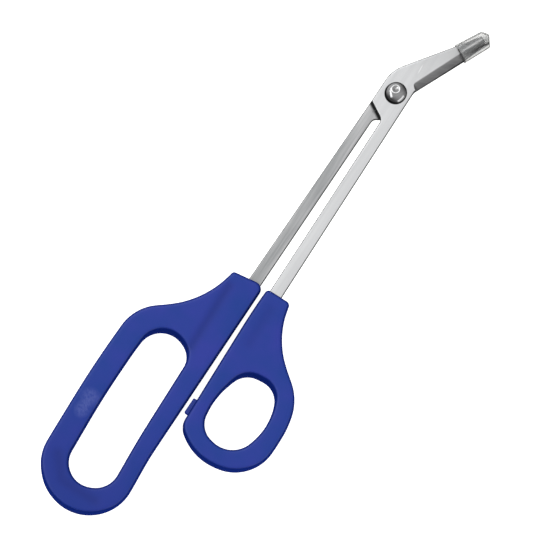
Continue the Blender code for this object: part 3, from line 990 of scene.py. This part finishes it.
def build_rivet():
    """A dome with a steep skirt in painted shade and a dent, a shank, and a flat tail with a
    hollow.
    """
    low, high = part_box("pivot_rivet")
    head_r = (high.x - low.x) / 2
    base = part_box("front_arm")[1].z + HEAD_GAP
    foot_r, foot = head_r - SKIRT_IN, base + SKIRT_HIGH
    dome = high.z - foot
    ball = (foot_r ** 2 + dome ** 2) / (2 * dome)
    reach = math.degrees(math.asin(foot_r / ball))
    head = arc((0, high.z - ball), ball, 90, 90 - reach, steps=28)
    skirt = [(foot_r + SKIRT_IN * math.sin(turn), base + SKIRT_HIGH * math.cos(turn))
             for turn in map(math.radians, SKIRT_ANGLES)]
    profile = [(0, head[0][1])] + head[1:] + skirt + [
        (head_r - HEAD_GAP, base), (RIVET_SHANK_R, base), (RIVET_SHANK_R, TAIL_HIGH),
        (TAIL_R - TAIL_BREAK, TAIL_HIGH), (TAIL_R, TAIL_HIGH - TAIL_BREAK)]
    profile += arc((TAIL_R - TAIL_ROUND, TAIL_ROUND), TAIL_ROUND, 0, -90, steps=6)
    profile += [(radius * MM, depth * MM) for radius, depth in TAIL_HOLLOW]
    rivet = make_turned("pivot_rivet_polished", profile)
    spots = points_of(rivet.data)
    away = norm(spots[:, :2] - np.array(DENT_CENTRE), axis=1)
    dent = DENT_DEEP * np.exp(-(away / DENT_R) ** 2)
    spots[:, 2] -= dent * (spots[:, 2] > foot)
    move_points(rivet.data, spots)
    give(rivet,
         steel("polished_steel", (0.22, 0.22, 0.225), (0.38,) * 3, 0.13,
               turn=math.radians(30), streak=0.3),
         steel("shaded_steel", (0.012,) * 3, (0.03,) * 3, 0.5, streak=0.3))
    # the skirt gets painted shade
    for face in rivet.data.polygons:
        if face.center.xy.length > foot_r and face.center.z > base:
            face.material_index = 1
    shade(rivet, 30)
    stands_for(rivet, "pivot_rivet", "finger_side")


def build_washer():
    """A flat ring with rounded outer edges."""
    low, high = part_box("rivet_washer")
    outer = (high.x - low.x) / 2 - WASHER_ROUND
    profile = [(WASHER_INNER_R, high.z)]
    profile += arc((outer, high.z - WASHER_ROUND), WASHER_ROUND, 90, 0, steps=4)
    profile += arc((outer, low.z + WASHER_ROUND), WASHER_ROUND, 0, -90, steps=4)
    profile += [(WASHER_INNER_R, low.z)]
    washer = make_turned("rivet_washer_turned", profile, closed=True)
    give(washer, steel("plain_steel", (0.42, 0.42, 0.43), (0.52, 0.52, 0.53), 0.38, streak=0.4))
    shade(washer, 30)
    stands_for(washer, "rivet_washer", "finger_side")


# -------- tip guard

def open_mouth(guard):
    """Cut away what lies before the mouth."""
    shape = bmesh.new()
    shape.from_mesh(guard.data)
    bmesh.ops.bisect_plane(shape, geom=every_part(shape), plane_co=(0, 0, 0),
                           plane_no=(0, -1, 0), clear_outer=True)
    shape.to_mesh(guard.data)
    shape.free()


def form_sleeve(guard):
    """Flare the lip, lower the closed end and press in the fold."""
    spots = points_of(guard.data)
    across, along = spots[:, 0].copy(), spots[:, 1]
    flare = LIP_FLARE * np.clip(1 - along / LIP_LONG, 0, 1) ** 2
    spots[:, 0] *= 1 + flare
    spots[:, 2] *= 1 + (GUARD_END_HIGH - 1) * along / along.max() + flare
    fold = np.exp(-((across - FOLD_ACROSS) / FOLD_R) ** 2)
    fold *= np.clip((along - FOLD_FROM) / (FOLD_FULL - FOLD_FROM), 0, 1)
    note(guard, "fold", fold)
    spots[:, 2] -= np.sign(spots[:, 2]) * FOLD_DEEP * fold
    move_points(guard.data, spots)


def paint_guard(guard):
    """Clear plastic, with painted shade where its walls turn edge-on and along the mouth's cut
    edge.
    """
    give(guard,
         clear_plastic("clear_plastic", (0.60, 0.61, 0.61), (1.0,) * 3, 0.90,
                       side_color=(0.90, 0.90, 0.89)),
         # painted shade: a dark copy of the clear plastic
         clear_plastic("clear_plastic_edge", (0.03,) * 3, (0.09,) * 3, 0.3,
                       side_color=(0.10,) * 3))
    own_frame = Matrix.Rotation(GUARD_TILT, 4, "Z") @ Matrix.Translation(-GUARD_MOUTH)
    for face in guard.data.polygons:
        place = own_frame @ face.center
        at_lip = place.y < LIP_EDGE and place.x > LIP_DARK_FROM
        if at_lip or abs(face.normal.z) < GUARD_UPRIGHT:
            face.material_index = 1


def build_guard():
    """A clear sleeve closed at the blades' tips: a rounded form, opened at its mouth."""
    low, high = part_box("tip_guard")
    half = (high.z - low.z) / 2
    corners = [[value * MM for value in corner] for corner in GUARD_CORNERS]
    outline = Cornered(corners, side_steps=36, corner_steps=12, least_radius=GUARD_LEAST_R)
    edge = edge_profile(GUARD_ROUND, GUARD_DROP, 0, half, steps=12)
    guard = make_plate("tip_guard_clear", [outline], -half, half, edge, edge, GUARD_GRID,
                       support=GUARD_SUPPORT)
    open_mouth(guard)
    note(guard, "rim", nearness(guard, [outline], GUARD_CLEAN))
    form_sleeve(guard)
    guard.data.transform(Matrix.Translation(GUARD_MOUTH) @ Matrix.Rotation(-GUARD_TILT, 4, "Z"))
    wall = guard.modifiers.new("wall", "SOLIDIFY")
    wall.thickness = GUARD_WALL
    wall.offset = -1
    apply_modifiers(guard)
    paint_guard(guard)
    shade(guard, 40)
    stands_for(guard, "tip_guard", "guard")


# -------- studio

def aim(thing, place, target, upright):
    """Put a camera or a lamp in its place, facing the target, with its top towards upright."""
    back = (place - target).normalized()
    side = upright.cross(back).normalized()
    axes = Matrix((side, back.cross(side), back)).transposed().to_4x4()
    thing.matrix_world = Matrix.Translation(place) @ axes


def make_camera(target):
    """A camera far above the target, leaning back from the picture's upright."""
    camera = in_scene("camera", bpy.data.cameras.new("camera"))
    camera.data.lens = camera.data.sensor_width * CAMERA_AWAY / PICTURE_WIDTH
    back = UP * math.cos(CAMERA_LEAN) - IMAGE_UP * math.sin(CAMERA_LEAN)
    aim(camera, target + back * CAMERA_AWAY, target, IMAGE_UP)
    bpy.context.scene.camera = camera


def make_lamp(name, place, target, upright, width, height, watts):
    """A flat lamp that the camera doesn't see."""
    light = bpy.data.lights.new(name, "AREA")
    light.shape = "RECTANGLE"
    light.size, light.size_y = width, height
    light.energy = watts
    lamp = in_scene(name, light)
    lamp.visible_camera = False
    aim(lamp, place, target, upright)


def make_sky():
    """Soft light from overhead that falls off towards the horizon, a little paler to two
    opposite sides and dimmer to the two between them, which polished steel shows. Directions
    are the world's, so they stay put as the camera moves."""
    world = bpy.data.worlds.new("studio")
    bpy.context.scene.world = world
    world.use_nodes = True
    sky = Nodes(world.node_tree, "Generated")
    overhead = sky.ranged(sky.along(SKY_TOP), *SKY_FALL, interpolation_type="SMOOTHSTEP")
    pale, dim = sky.along(SKY_PALE_WAY), sky.along(SKY_DIM_WAY)
    quarters = sky.math("SUBTRACT", sky.times(pale, pale), sky.times(dim, dim))
    strength = sky.math("ADD", overhead, sky.times(quarters, SKY_QUARTERS))
    strength = sky.math("MAXIMUM", strength, SKY_LEAST)
    sky.set_up(sky.tree.nodes["Background"], Strength=strength, Color=(1, 1, 1, 1))


def make_floor():
    """A wide white floor just below the part."""
    shape = bmesh.new()
    bmesh.ops.create_grid(shape, x_segments=8, y_segments=8, size=FLOOR_HALF)
    floor = from_bmesh("floor", shape)
    floor.location.z = cad_low.z - FLOOR_BELOW
    give(floor, light_table("light_table"))


def light_and_frame():
    """The camera and the lamps, all aimed at the middle of the picture."""
    target = (cad_low + cad_high) / 2 + PICTURE_SHIFT
    target.z = MID_HEIGHT
    make_camera(target)
    for name, place, *form in LAMPS:
        make_lamp(name, target + place, target, *form)
    bpy.context.scene.view_settings.view_transform = "Standard"


# -------- assembly

rear_lines, front_lines = build_arms()
build_handles(rear_lines, front_lines)
build_rivet()
build_washer()
build_guard()
make_floor()
make_sky()
light_and_frame()
